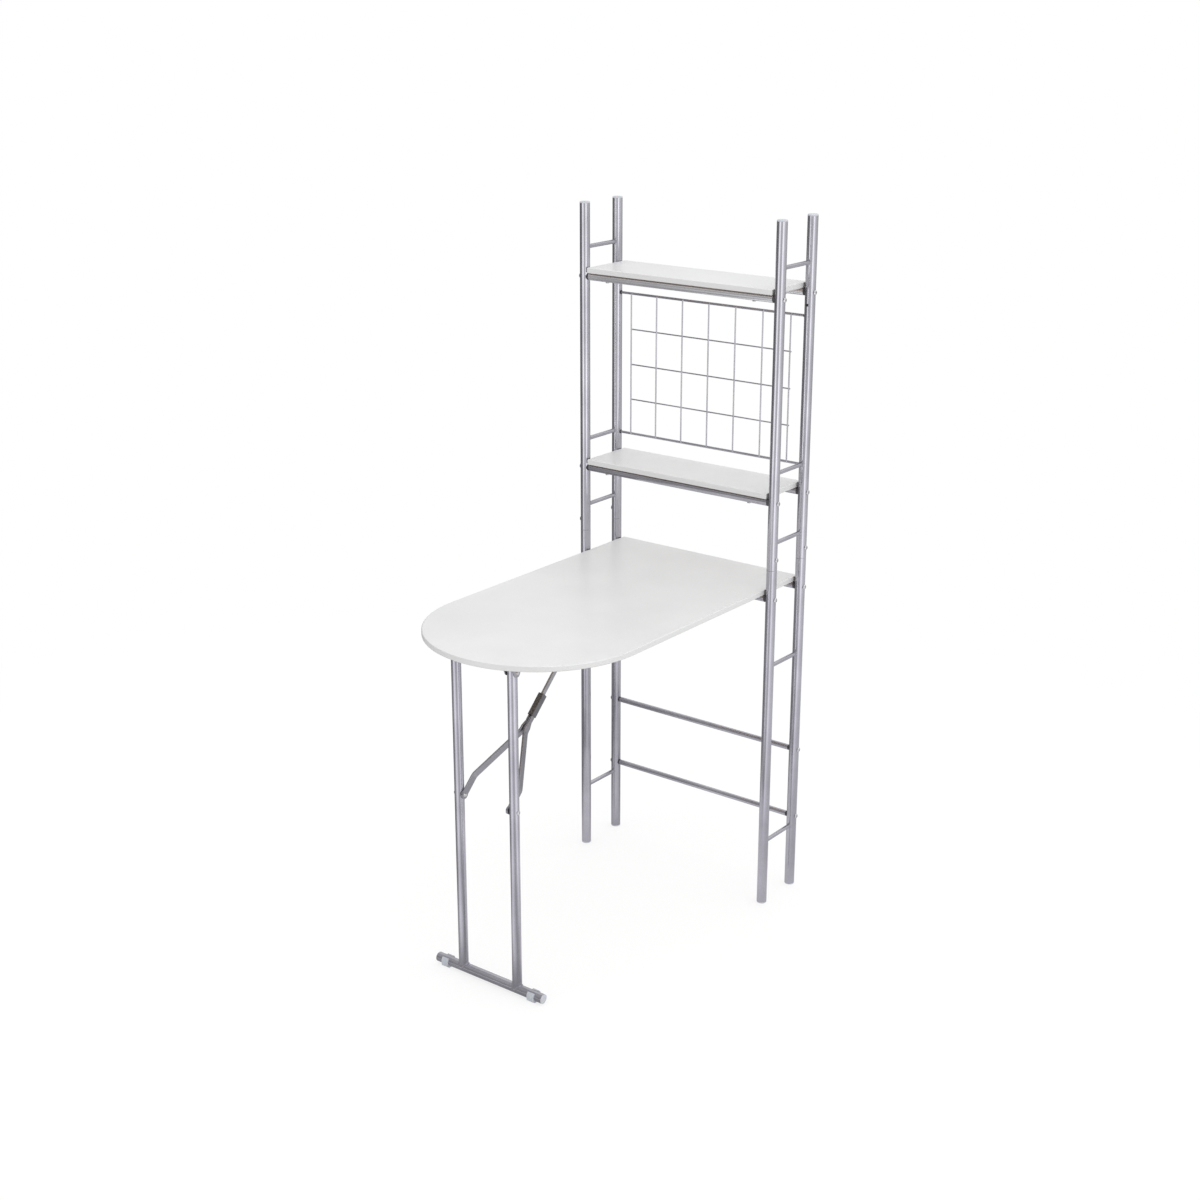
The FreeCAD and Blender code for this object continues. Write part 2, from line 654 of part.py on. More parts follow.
def make_leg():
    """Two tubes welded to a foot bar that stands on two clip-on pads."""
    bar_z = size.pad_wall + size.leg_diameter / 2
    brace_z = pivot_z - size.brace_drop
    bore = size.leg_diameter - size.leg_wall * 2
    stem = bore - size.fit_gap * 2
    bar_half = size.foot_bar_length / 2 - size.leg_plug_lip
    tube_top = pivot_z + size.leg_end_rise
    far = size.leg_span / 2 + size.leg_diameter
    near = size.leg_span / 2 - size.leg_diameter
    plugs = []
    brace_bolts = []
    for side_name, side in sides.items():
        x = size.leg_span / 2 * side
        label = f"leg_tube_{side_name}"
        tube = rod(f"{label}_tube", size.leg_diameter, tube_top - bar_z, x, leg_y, bar_z)
        tools = [
            rod(f"{label}_bore", bore, tube_top + size.cut_overrun - bar_z, x, leg_y, bar_z),
            rod(f"{label}_cope", size.leg_diameter, size.leg_diameter * 2,
                x - size.leg_diameter, leg_y, bar_z, "+x"),
            across(f"{label}_pin_hole", pivot_hole, side, near, far, leg_y, pivot_z),
            across(f"{label}_brace_hole", pivot_hole, side, near, far, leg_y, brace_z),
        ]
        node(label, cut(label, tube, tools))
        plugs.append(fuse(f"leg_plug_{side_name}", [
            rod(f"leg_plug_{side_name}_lip", size.leg_diameter, size.leg_plug_lip, x, leg_y, tube_top),
            rod(f"leg_plug_{side_name}_stem", stem, size.leg_plug_stem,
                x, leg_y, tube_top - size.leg_plug_stem),
        ]))
        outwards = "+x" if side > 0 else "-x"
        face = size.leg_span / 2 + size.leg_diameter / 2
        brace_bolts.append(fuse(f"brace_bolt_{side_name}", [
            head(f"brace_bolt_{side_name}_head", size.pivot_head_diameter, size.pivot_head_height,
                 face * side, leg_y, brace_z, outwards),
            across(f"brace_bolt_{side_name}_shank", size.pivot_diameter, side,
                   face - size.leg_diameter, face, leg_y, brace_z),
        ]))
    node("leg_top_plugs", group("leg_top_plugs", plugs))
    node("brace_leg_bolts", group("brace_leg_bolts", brace_bolts))

    bar = rod("foot_bar_tube", size.leg_diameter, bar_half * 2, -bar_half, leg_y, bar_z, "+x")
    bar_bore = rod("foot_bar_bore", bore, (bar_half + size.cut_overrun) * 2,
                   -bar_half - size.cut_overrun, leg_y, bar_z, "+x")
    node("foot_bar", cut("foot_bar", bar, [bar_bore]))
    ends = []
    pads = []
    for side_name, side in sides.items():
        ends.append(fuse(f"foot_bar_plug_{side_name}", [
            head(f"foot_bar_plug_{side_name}_lip", size.leg_diameter, size.leg_plug_lip,
                 bar_half * side, leg_y, bar_z, "+x" if side > 0 else "-x"),
            across(f"foot_bar_plug_{side_name}_stem", stem, side, bar_half - size.foot_plug_stem,
                   bar_half, leg_y, bar_z),
        ]))
        pads.append(foot_pad(f"foot_pad_{side_name}", size.pad_span / 2 * side, bar_z))
    node("foot_bar_plugs", group("foot_bar_plugs", ends))
    node("foot_pads", group("foot_pads", pads))


def foot_pad(name, x, bar_z):
    """A clip pushed along the foot bar, flat underneath and open at the top between two lips."""
    half = size.leg_diameter / 2 + size.pad_wall
    sole = size.pad_sole / 2
    corner = half - sole
    inset = corner * (1 - math.sqrt(0.5))
    lip_y = half * lip_side_share
    lip_rise = half * math.sqrt(1 - lip_side_share ** 2)
    notch_y = lip_y * lip_notch_share
    notch_z = bar_z + lip_rise * lip_notch_share
    corners = [
        (-half, corner), (-sole, 0), (sole, 0), (half, corner), (half, bar_z),
        (lip_y, bar_z + lip_rise), (notch_y, notch_z),
        (-notch_y, notch_z), (-lip_y, bar_z + lip_rise), (-half, bar_z),
    ]
    arcs = {
        0: (inset - half, inset, corner),
        2: (half - inset, inset, corner),
        4: (lip_rise, bar_z + lip_y, bar_z),
        8: (-lip_rise, bar_z + lip_y, bar_z),
    }
    body, pad = padded(f"{name}_body", "YZ_Plane", corners, arcs, size.pad_width)
    place(body, x - size.pad_width / 2, leg_y, 0)
    grip = size.leg_diameter + size.fit_gap * 2
    hollow = rod(f"{name}_hollow", grip, size.pad_width + size.cut_overrun * 2,
                 x - size.pad_width / 2 - size.cut_overrun, leg_y, bar_z, "+x")
    return cut(name, body, [hollow])


# The brace is laid out along -Y from its anchor and then tilted down to the leg.
brace_slope = math.degrees(math.atan2(amount(size.brace_drop), amount(size.brace_reach)))
brace_length = math.hypot(amount(size.brace_drop), amount(size.brace_reach))


def tilt(thing):
    anchor = FreeCAD.Vector(0, amount(anchor_y), amount(pivot_z))
    thing.Placement = FreeCAD.Placement(anchor, FreeCAD.Rotation(x_axis, brace_slope))
    return thing


def make_link():
    """The flat bar from the anchor to the knuckle, and the sleeve that locks it."""
    half = size.link_width / 2
    depth = size.link_thickness
    bar = fuse("link_bar", [
        block("link_flat", depth, size.link_length, size.link_width, -depth / 2, -size.link_length, -half),
        rod("link_anchor_end", size.link_width, depth, -depth / 2, 0, 0, "+x"),
        rod("link_knuckle_end", size.link_width, depth, -depth / 2, -size.link_length, 0, "+x"),
    ])
    bores = [rod("link_bore", pivot_hole, depth + size.cut_overrun * 2,
                 -depth / 2 - size.cut_overrun, y, 0, "+x")
             for y in (0, -size.link_length)]
    node("brace_link", tilt(cut("brace_link", bar, bores)))

    tongue_face = depth / 2 + size.layer_gap + size.tongue_thickness
    rivet = rod("knuckle_rivet_pin", size.pivot_diameter, tongue_face * 2,
                -tongue_face, -size.link_length, 0, "+x")
    node("knuckle_rivet", tilt(group("knuckle_rivet", [rivet])))

    inner_x = tongue_face + size.sleeve_side_gap
    inner_z = half + size.sleeve_edge_gap
    outer_x = inner_x + size.sleeve_wall
    outer_z = inner_z + size.sleeve_wall
    low_end = size.link_length + size.sleeve_cover
    tube = block("sleeve_tube", outer_x * 2, size.sleeve_length, outer_z * 2, -outer_x, -low_end, -outer_z)
    hollow = block("sleeve_hollow", inner_x * 2, size.sleeve_length + size.cut_overrun * 2, inner_z * 2,
                   -inner_x, -low_end - size.cut_overrun, -inner_z)
    doc.recompute()
    rounded = doc.addObject("Part::Fillet", "sleeve_rounded")
    rounded.Base = tube
    radius = amount(size.sleeve_corner)
    rounded.Edges = [(index, radius, radius) for index, edge in enumerate(tube.Shape.Edges, start=1)
                     if edge.BoundBox.YLength > amount(size.sleeve_length) / 2]
    node("lock_sleeve", tilt(cut("lock_sleeve", rounded, [hollow])))


def bar_section(x, y, half_x, half_z):
    """The outline of a flat bar with round edges, in a plane across the brace."""
    low = half_x - half_z
    high = half_z - half_x

    def spot(side, z):
        return FreeCAD.Vector(x + half_x * side, y, z)

    return Part.Wire([
        Part.LineSegment(spot(1, low), spot(1, high)).toShape(),
        Part.Arc(spot(1, high), spot(0, half_z), spot(-1, high)).toShape(),
        Part.LineSegment(spot(-1, high), spot(-1, low)).toShape(),
        Part.Arc(spot(-1, low), spot(0, -half_z), spot(1, low)).toShape(),
    ])


def rounded_path(points, radius):
    """Straight runs joined by tangent arcs."""
    edges = []
    start = points[0]
    for before, corner, after in zip(points, points[1:], points[2:]):
        back = (before - corner).normalize()
        on = (after - corner).normalize()
        half_turn = back.getAngle(on) / 2
        run = radius / math.tan(half_turn)
        middle = corner + (back + on).normalize() * (radius / math.sin(half_turn) - radius)
        edges.append(Part.LineSegment(start, corner + back * run).toShape())
        edges.append(Part.Arc(corner + back * run, middle, corner + on * run).toShape())
        start = corner + on * run
    edges.append(Part.LineSegment(start, points[-1]).toShape())
    return Part.Wire(edges)


def make_arms():
    """Two bent flat bars, narrow beside the link at the knuckle and round-ended beside the leg."""
    at = SimpleNamespace(**{alias: amount(length) for alias, length in vars(size).items()})
    half_thick = at.arm_thickness / 2
    half_wide = at.arm_width / 2
    tongue_x = at.link_thickness / 2 + at.layer_gap
    tongue_mid = tongue_x + at.tongue_thickness / 2
    tongue_half = at.link_width / 2
    flat_end = at.link_length + at.tongue_length
    neck = flat_end + at.arm_taper_length
    eye_face = at.leg_span / 2 - at.leg_diameter / 2 - at.eye_gap
    eye_mid = eye_face - half_thick
    neck_x = tongue_x + half_thick
    overlap = at.fit_gap
    path = [
        FreeCAD.Vector(neck_x, -neck, 0),
        FreeCAD.Vector(neck_x, -neck - at.arm_neck, 0),
        FreeCAD.Vector(eye_mid, at.arm_straight - brace_length, 0),
        FreeCAD.Vector(eye_mid, -brace_length, 0),
    ]
    section = bar_section(neck_x, -neck, half_thick, half_wide)
    bent = rounded_path(path, at.arm_bend_radius).makePipeShell([section], True, False)
    tongue_section = bar_section(tongue_mid, overlap - flat_end, at.tongue_thickness / 2, tongue_half)
    upper = Part.makeLoft([tongue_section, section], True, True)
    corner = FreeCAD.Vector(tongue_x, -flat_end, -tongue_half)
    tongue = Part.makeBox(at.tongue_thickness, at.tongue_length, at.link_width, corner)
    knuckle = FreeCAD.Vector(tongue_x, -at.link_length, 0)
    tongue_end = Part.makeCylinder(tongue_half, at.tongue_thickness, knuckle, x_axis)
    eye_at = FreeCAD.Vector(eye_face - at.arm_thickness, -brace_length, 0)
    eye = Part.makeCylinder(half_wide, at.arm_thickness, eye_at, x_axis)
    whole = bent.fuse([upper, tongue, tongue_end, eye]).removeSplitter()
    hole_radius = amount(pivot_hole) / 2
    for spot in (knuckle, eye_at):
        start = spot - x_axis * at.cut_overrun
        drilled = at.arm_thickness + at.cut_overrun * 2
        whole = whole.cut(Part.makeCylinder(hole_radius, drilled, start, x_axis))
    rivets = []
    head_shape = Part.makeCone(at.pivot_head_diameter / 2, at.pivot_head_diameter / 2 * head_taper_share,
                               at.pivot_head_height, eye_at, -x_axis)
    pin_shape = Part.makeCylinder(at.pivot_diameter / 2, at.arm_thickness, eye_at, x_axis)
    rivet_shape = head_shape.fuse(pin_shape)
    for side_name, side in sides.items():
        arm = doc.addObject("Part::Feature", f"brace_arm_{side_name}")
        rivet = doc.addObject("Part::Feature", f"arm_rivet_{side_name}")
        for thing, shape in ((arm, whole), (rivet, rivet_shape)):
            thing.Shape = shape if side > 0 else shape.mirror(FreeCAD.Vector(), x_axis)
        node(f"brace_arm_{side_name}", tilt(arm))
        rivets.append(rivet)
    node("arm_rivets", tilt(group("arm_rivets", rivets)))


make_posts()
make_post_ends()
make_rungs()
make_rails()
make_shelves()
make_grid()
make_top()
make_leg()
make_link()
make_arms()
doc.recompute()

for thing in doc.Objects:
    if "Invalid" in thing.State or "Error" in thing.State:
        raise RuntimeError(f"{thing.Label} failed to build")
for thing in nodes:
    if thing.Shape.isNull() or not thing.Shape.isValid():
        raise RuntimeError(f"{thing.Label} has no valid shape")

os.makedirs("parts", exist_ok=True)
for thing in nodes:
    thing.Shape.exportStep(f"parts/{thing.Label}.step")
    print(thing.Label, len(thing.Shape.Solids), round(thing.Shape.Volume))
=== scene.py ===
import json
import math

import bpy
from mathutils import Matrix, Vector


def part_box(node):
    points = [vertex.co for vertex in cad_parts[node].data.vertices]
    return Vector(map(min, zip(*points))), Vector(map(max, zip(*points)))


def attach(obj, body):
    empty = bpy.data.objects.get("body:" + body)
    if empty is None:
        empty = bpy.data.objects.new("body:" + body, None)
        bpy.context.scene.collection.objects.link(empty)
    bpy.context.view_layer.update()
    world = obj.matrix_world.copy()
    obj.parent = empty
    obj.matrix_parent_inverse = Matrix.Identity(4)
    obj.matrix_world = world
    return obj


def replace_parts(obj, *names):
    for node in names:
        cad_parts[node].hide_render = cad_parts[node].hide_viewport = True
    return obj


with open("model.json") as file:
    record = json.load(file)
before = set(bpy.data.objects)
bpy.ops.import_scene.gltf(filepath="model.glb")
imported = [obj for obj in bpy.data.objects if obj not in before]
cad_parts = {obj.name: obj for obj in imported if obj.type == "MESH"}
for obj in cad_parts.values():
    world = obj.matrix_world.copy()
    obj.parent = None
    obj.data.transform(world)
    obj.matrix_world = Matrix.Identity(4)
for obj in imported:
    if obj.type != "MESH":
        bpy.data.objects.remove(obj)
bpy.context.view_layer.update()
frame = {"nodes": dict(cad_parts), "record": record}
slotOf = {row["node"]: row["material_slot"] for row in frame["record"]["subparts"]}
print("frame loaded,", len(slotOf), "nodes")


def addNode(tree, kind, **settings):
    made = tree.nodes.new(kind)
    for label, value in settings.items():
        setattr(made, label, value)
    return made


def startGroup(name, inputs, outputs):
    tree = bpy.data.node_groups.new(name, "ShaderNodeTree")
    for label, kind, value in inputs:
        socket = tree.interface.new_socket(label, in_out="INPUT", socket_type=kind)
        socket.default_value = value
    for label in outputs:
        tree.interface.new_socket(label, in_out="OUTPUT", socket_type="NodeSocketFloat")
    return tree, tree.nodes.new("NodeGroupInput"), tree.nodes.new("NodeGroupOutput")


def spread(tree, source, low, high, toLow=0.0, toHigh=1.0):
    # stretches a value to a new range, held at both ends
    ranger = addNode(tree, "ShaderNodeMapRange", clamp=True)
    ranger.inputs["From Min"].default_value = low
    ranger.inputs["From Max"].default_value = high
    ranger.inputs["To Min"].default_value = toLow
    ranger.inputs["To Max"].default_value = toHigh
    tree.links.new(source, ranger.inputs["Value"])
    return ranger.outputs["Result"]


def combine(tree, operation, first, second):
    maths = addNode(tree, "ShaderNodeMath", operation=operation)
    for socket, value in zip(maths.inputs, (first, second)):
        if isinstance(value, (int, float)):
            socket.default_value = value
        else:
            tree.links.new(value, socket)
    return maths.outputs["Value"]


def blend(tree, share, first, second):
    # a share of the first value and the rest of the second
    return combine(tree, "ADD", combine(tree, "MULTIPLY", first, share),
                   combine(tree, "MULTIPLY", second, 1 - share))


grainLook = {"peelDetail": 2.0}


def makeCoatGrain():
    # tiny flakes and the orange peel of a sprayed or moulded skin
    tree, given, result = startGroup(
        "coatGrain",
        [("Vector", "NodeSocketVector", (0, 0, 0)),
         ("Flake Scale", "NodeSocketFloat", 2200.0),
         ("Peel Scale", "NodeSocketFloat", 600.0)],
        ["Flake", "Peel"])
    flakes = addNode(tree, "ShaderNodeTexVoronoi", feature="F1")
    split = addNode(tree, "ShaderNodeSeparateColor")
    peel = addNode(tree, "ShaderNodeTexNoise")
    peel.inputs["Detail"].default_value = grainLook["peelDetail"]
    for target in (flakes, peel):
        tree.links.new(given.outputs["Vector"], target.inputs["Vector"])
    tree.links.new(given.outputs["Flake Scale"], flakes.inputs["Scale"])
    tree.links.new(given.outputs["Peel Scale"], peel.inputs["Scale"])
    tree.links.new(flakes.outputs["Color"], split.inputs["Color"])
    tree.links.new(split.outputs["Red"], result.inputs["Flake"])
    tree.links.new(peel.outputs["Fac"], result.inputs["Peel"])
    return tree


toneLook = {
    "cloudDetail": 4.0, "markDetail": 6.0, "markRoughness": 0.65,
    "cloud": (0.32, 0.68), "mark": (0.55, 0.75), "upward": (0.3, 1.0),  # stretches that are spread from 0 to 1
}


def makeHandledTone():
    # broad clouding, small marks, and dust that lies on what faces up
    tree, given, result = startGroup(
        "handledTone",
        [("Vector", "NodeSocketVector", (0, 0, 0)),
         ("Cloud Scale", "NodeSocketFloat", 8.0),
         ("Mark Scale", "NodeSocketFloat", 90.0)],
        ["Cloud", "Mark", "Dust"])
    clouds = addNode(tree, "ShaderNodeTexNoise")
    clouds.inputs["Detail"].default_value = toneLook["cloudDetail"]
    marks = addNode(tree, "ShaderNodeTexNoise")
    marks.inputs["Detail"].default_value = toneLook["markDetail"]
    marks.inputs["Roughness"].default_value = toneLook["markRoughness"]
    for target, scale in ((clouds, "Cloud Scale"), (marks, "Mark Scale")):
        tree.links.new(given.outputs["Vector"], target.inputs["Vector"])
        tree.links.new(given.outputs[scale], target.inputs["Scale"])
    facing = addNode(tree, "ShaderNodeTexCoord")  # its Normal turns with the piece
    split = addNode(tree, "ShaderNodeSeparateXYZ")
    tree.links.new(facing.outputs["Normal"], split.inputs["Vector"])
    cloud = spread(tree, clouds.outputs["Fac"], *toneLook["cloud"])
    mark = spread(tree, marks.outputs["Fac"], *toneLook["mark"])
    upward = spread(tree, split.outputs["Z"], *toneLook["upward"])
    tree.links.new(cloud, result.inputs["Cloud"])
    tree.links.new(mark, result.inputs["Mark"])
    tree.links.new(combine(tree, "MULTIPLY", upward, cloud), result.inputs["Dust"])
    return tree


lineLook = {"scale": 1.0, "detail": 3.0}


def makeDrawnLines():
    # fine lines left by rolling and drawing, long along the lay
    tree, given, result = startGroup(
        "drawnLines",
        [("Vector", "NodeSocketVector", (0, 0, 0)),
         ("Lay", "NodeSocketVector", (40.0, 1800.0, 1800.0))],
        ["Line"])
    stretch = addNode(tree, "ShaderNodeVectorMath", operation="MULTIPLY")
    lines = addNode(tree, "ShaderNodeTexNoise")
    lines.inputs["Scale"].default_value = lineLook["scale"]
    lines.inputs["Detail"].default_value = lineLook["detail"]
    tree.links.new(given.outputs["Vector"], stretch.inputs[0])
    tree.links.new(given.outputs["Lay"], stretch.inputs[1])
    tree.links.new(stretch.outputs["Vector"], lines.inputs["Vector"])
    tree.links.new(lines.outputs["Fac"], result.inputs["Line"])
    return tree


coatGrain = makeCoatGrain()
handledTone = makeHandledTone()
drawnLines = makeDrawnLines()
print("shared effects ready")


def useGroup(tree, group, place, **values):
    used = addNode(tree, "ShaderNodeGroup", node_tree=group)
    tree.links.new(place, used.inputs["Vector"])
    for label, value in values.items():
        used.inputs[label.replace("_", " ")].default_value = value
    return used


def useGrain(tree, place, look):
    return useGroup(tree, coatGrain, place, Flake_Scale=look["flakeScale"], Peel_Scale=look["peelScale"])


def useTone(tree, place, look):
    return useGroup(tree, handledTone, place, Cloud_Scale=look["cloudScale"], Mark_Scale=look["markScale"])


def mixColours(tree, amount, low, high):
    mixed = addNode(tree, "ShaderNodeMix", data_type="RGBA")
    tree.links.new(amount, mixed.inputs["Factor"])
    for socket, colour in ((mixed.inputs[6], low), (mixed.inputs[7], high)):  # its two colour sockets
        if isinstance(colour, tuple):
            socket.default_value = (*colour, 1.0)
        else:
            tree.links.new(colour, socket)
    return mixed.outputs[2]


def startFinish(name, look):
    finish = bpy.data.materials.new(name)
    finish.use_nodes = True
    tree = finish.node_tree
    shader = tree.nodes["Principled BSDF"]
    for label, value in look["sockets"].items():
        shader.inputs[label].default_value = value
    place = addNode(tree, "ShaderNodeTexCoord").outputs["Object"]
    return finish, tree, shader, place


def raiseSurface(tree, shader, height, look):
    bump = addNode(tree, "ShaderNodeBump")
    bump.inputs["Strength"].default_value = look["bumpStrength"]
    bump.inputs["Distance"].default_value = look["bumpDepth"]
    tree.links.new(height, bump.inputs["Height"])
    tree.links.new(bump.outputs["Normal"], shader.inputs["Normal"])


silverLook = {
    "low": (0.42, 0.41, 0.455), "high": (0.53, 0.52, 0.57), "dust": (0.58, 0.58, 0.60),
    "flakeScale": 2600.0, "peelScale": 750.0, "cloudScale": 11.0, "markScale": 140.0,
    "roughness": (0.15, 0.22), "dustShare": 0.15,
    "bumpStrength": 0.012, "bumpDepth": 0.0002, "flakeShare": 0.1,
    "sockets": {"Metallic": 0.9, "Coat Weight": 0.1, "Coat Roughness": 0.25},
}
# the upper shelf's rails get a paler copy of the rack's paint, a painted highlight for the light they catch,
# and the brace arms are darker and duller
litRailLook = {**silverLook, "low": (0.78, 0.77, 0.80), "high": (0.90, 0.89, 0.92)}
armLook = {**silverLook, "low": (0.30, 0.295, 0.32), "high": (0.38, 0.375, 0.40), "roughness": (0.30, 0.40)}


def makeSilverPaint(name, look):
    finish, tree, shader, place = startFinish(name, look)
    grain = useGrain(tree, place, look)
    tone = useTone(tree, place, look)
    shade = blend(tree, look["flakeShare"], grain.outputs["Flake"], tone.outputs["Cloud"])
    painted = mixColours(tree, shade, look["low"], look["high"])
    dusty = combine(tree, "MULTIPLY", tone.outputs["Dust"], look["dustShare"])
    tree.links.new(mixColours(tree, dusty, painted, look["dust"]), shader.inputs["Base Color"])
    worn = spread(tree, tone.outputs["Mark"], 0.0, 1.0, *look["roughness"])
    tree.links.new(worn, shader.inputs["Roughness"])
    raiseSurface(tree, shader, grain.outputs["Peel"], look)
    return finish


boardLook = {
    "low": (0.70, 0.70, 0.70), "high": (0.74, 0.74, 0.74), "edge": (0.66, 0.66, 0.66),
    # the brown underside: fibreboard's colour, made darker partly as painted shade under the boards
    "under": (0.34, 0.275, 0.225), "fibre": (0.46, 0.39, 0.325), "flakeScale": 1500.0, "peelScale": 420.0,
    "cloudScale": 6.0, "markScale": 60.0, "roughness": (0.30, 0.40), "edgeShare": 0.75,
    "edgeFrom": (0.35, 0.95), "underFrom": (-0.95, -0.4),
    "bumpStrength": 0.10, "bumpDepth": 0.0002,
    # painted shade: a dark brown laid into the board's colour where ambient occlusion finds narrow gaps
    "shade": (0.10, 0.075, 0.065), "shadeReach": 0.006, "shadeFrom": (0.15, 0.75), "shadeSamples": 8,
    "sockets": {"Metallic": 0.0, "Specular IOR Level": 0.45},
}


def makeWhiteBoard(look):
    finish, tree, shader, place = startFinish("whiteBoard", look)
    grain = useGrain(tree, place, look)
    tone = useTone(tree, place, look)
    facing = addNode(tree, "ShaderNodeTexCoord")  # its Normal turns with the board
    split = addNode(tree, "ShaderNodeSeparateXYZ")
    tree.links.new(facing.outputs["Normal"], split.inputs["Vector"])
    turned = combine(tree, "ABSOLUTE", split.outputs["Z"], 0.0)
    edge = combine(tree, "MULTIPLY", spread(tree, turned, *look["edgeFrom"], 1.0, 0.0), look["edgeShare"])
    under = spread(tree, split.outputs["Z"], *look["underFrom"], 1.0, 0.0)
    foil = mixColours(tree, tone.outputs["Cloud"], look["low"], look["high"])
    wrapped = mixColours(tree, edge, foil, look["edge"])
    # the underside is bare fibreboard, its brown made darker partly as painted shade under the boards; and
    # painted shade, a dark brown laid in by ambient occlusion, in the narrow gaps beside the posts and along
    # the rails
    underFibreAndShade = mixColours(tree, grain.outputs["Flake"], look["under"], look["fibre"])
    gapShadeOcclusion = addNode(tree, "ShaderNodeAmbientOcclusion", samples=look["shadeSamples"])
    gapShadeOcclusion.inputs["Distance"].default_value = look["shadeReach"]
    shaded = spread(tree, gapShadeOcclusion.outputs["AO"], *look["shadeFrom"], 1.0, 0.0)
    board = mixColours(tree, under, wrapped, underFibreAndShade)
    tree.links.new(mixColours(tree, shaded, board, look["shade"]), shader.inputs["Base Color"])
    worn = spread(tree, tone.outputs["Mark"], 0.0, 1.0, *look["roughness"])
    tree.links.new(worn, shader.inputs["Roughness"])
    raiseSurface(tree, shader, grain.outputs["Peel"], look)
    return finish


paleLook = {
    "low": (0.47, 0.49, 0.535), "high": (0.56, 0.575, 0.615), "flakeScale": 1800.0, "peelScale": 2400.0,
    "flakeShare": 0.35, "cloudScale": 30.0, "markScale": 220.0, "roughness": (0.42, 0.58),
    "bumpStrength": 0.25, "bumpDepth": 0.0001,
    "sockets": {"Metallic": 0.0, "Subsurface Weight": 0.05, "Specular IOR Level": 0.4},
}
darkLook = {
    "low": (0.038, 0.036, 0.040), "high": (0.066, 0.064, 0.070), "flakeScale": 1800.0, "peelScale": 2600.0,
    "flakeShare": 0.35, "cloudScale": 40.0, "markScale": 260.0, "roughness": (0.45, 0.62),
    "bumpStrength": 0.30, "bumpDepth": 0.0001,
    "sockets": {"Metallic": 0.0, "Specular IOR Level": 0.4},
}


def makeMouldedPlastic(name, look):
    finish, tree, shader, place = startFinish(name, look)
    grain = useGrain(tree, place, look)
    tone = useTone(tree, place, look)
    shade = blend(tree, look["flakeShare"], grain.outputs["Flake"], tone.outputs["Cloud"])
    tree.links.new(mixColours(tree, shade, look["low"], look["high"]), shader.inputs["Base Color"])
    tree.links.new(spread(tree, tone.outputs["Mark"], 0.0, 1.0, *look["roughness"]), shader.inputs["Roughness"])
    raiseSurface(tree, shader, grain.outputs["Peel"], look)
    return finish


zincLook = {
    "low": (0.60, 0.60, 0.62), "high": (0.80, 0.80, 0.805), "cloudScale": 120.0, "markScale": 700.0,
    "roughness": (0.18, 0.32), "lay": (900.0, 900.0, 900.0), "turn": 0.0,
    "lineShare": 0.5, "roughLineShare": 0.6, "roughFrom": (0.2, 0.8),
    "bumpStrength": 0.15, "bumpDepth": 0.0001,
    "sockets": {"Metallic": 1.0},
}
steelLook = {
    "low": (0.34, 0.34, 0.36), "high": (0.52, 0.52, 0.535), "cloudScale": 45.0, "markScale": 300.0,
    "roughness": (0.30, 0.46), "lay": (1500.0, 60.0, 1500.0), "turn": 44.3,
    "lineShare": 0.5, "roughLineShare": 0.6, "roughFrom": (0.2, 0.8),
    "bumpStrength": 0.20, "bumpDepth": 0.0001,
    "sockets": {"Metallic": 1.0},
}
sleeveLook = {**steelLook, "low": (0.15, 0.15, 0.16), "high": (0.27, 0.27, 0.28), "roughness": (0.26, 0.40)}


def makePlatedSteel(name, look):
    finish, tree, shader, place = startFinish(name, look)
    turned = addNode(tree, "ShaderNodeMapping")
    # on the brace the lines run up the link
    turned.inputs["Rotation"].default_value = (math.radians(-look["turn"]), 0.0, 0.0)
    tree.links.new(place, turned.inputs["Vector"])
    lines = useGroup(tree, drawnLines, turned.outputs["Vector"], Lay=look["lay"])
    tone = useTone(tree, place, look)
    shade = blend(tree, look["lineShare"], lines.outputs["Line"], tone.outputs["Cloud"])
    tree.links.new(mixColours(tree, shade, look["low"], look["high"]), shader.inputs["Base Color"])
    rough = blend(tree, look["roughLineShare"], lines.outputs["Line"], tone.outputs["Mark"])
    tree.links.new(spread(tree, rough, *look["roughFrom"], *look["roughness"]), shader.inputs["Roughness"])
    raiseSurface(tree, shader, lines.outputs["Line"], look)
    return finish


finishes = {
    "silver_paint": makeSilverPaint("silverPaint", silverLook),
    "white_board": makeWhiteBoard(boardLook),
    "pale_plastic": makeMouldedPlastic("palePlastic", paleLook),
    "dark_plastic": makeMouldedPlastic("darkPlastic", darkLook),
    "zinc_fasteners": makePlatedSteel("zincFasteners", zincLook),
    "bare_steel": makePlatedSteel("bareSteel", steelLook),
}
sleeveSteel = makePlatedSteel("sleeveSteel", sleeveLook)
armPaint = makeSilverPaint("armPaint", armLook)
# a paler copy of the silver paint: painted highlight on the upper shelf's rails
litRailPaint = makeSilverPaint("litRailPaint", litRailLook)
ownFinishes = {  # nodes that differ from the rest of their slot
    "lock_sleeve": sleeveSteel,
    "brace_arm_left": armPaint, "brace_arm_right": armPaint,
    "upper_shelf_rail_front": litRailPaint, "upper_shelf_rail_rear": litRailPaint,
}
for name, node in frame["nodes"].items():
    for holder in node.material_slots:
        holder.material = ownFinishes.get(name, finishes[slotOf[name]])
print("finishes on all nodes")

smoothAngle = math.radians(38.0)
bevelAngle = math.radians(50.0)
flatShare = 0.9  # how squarely a picked face looks along the axis
spotDigits = 6  # corners that agree to so many digits are one
alongX, alongY, alongZ = Vector((1.0, 0.0, 0.0)), Vector((0.0, 1.0, 0.0)), Vector((0.0, 0.0, 1.0))


def clearSelection():
    if bpy.context.mode != "OBJECT":
        bpy.ops.object.mode_set(mode="OBJECT")
    bpy.ops.object.select_all(action="DESELECT")


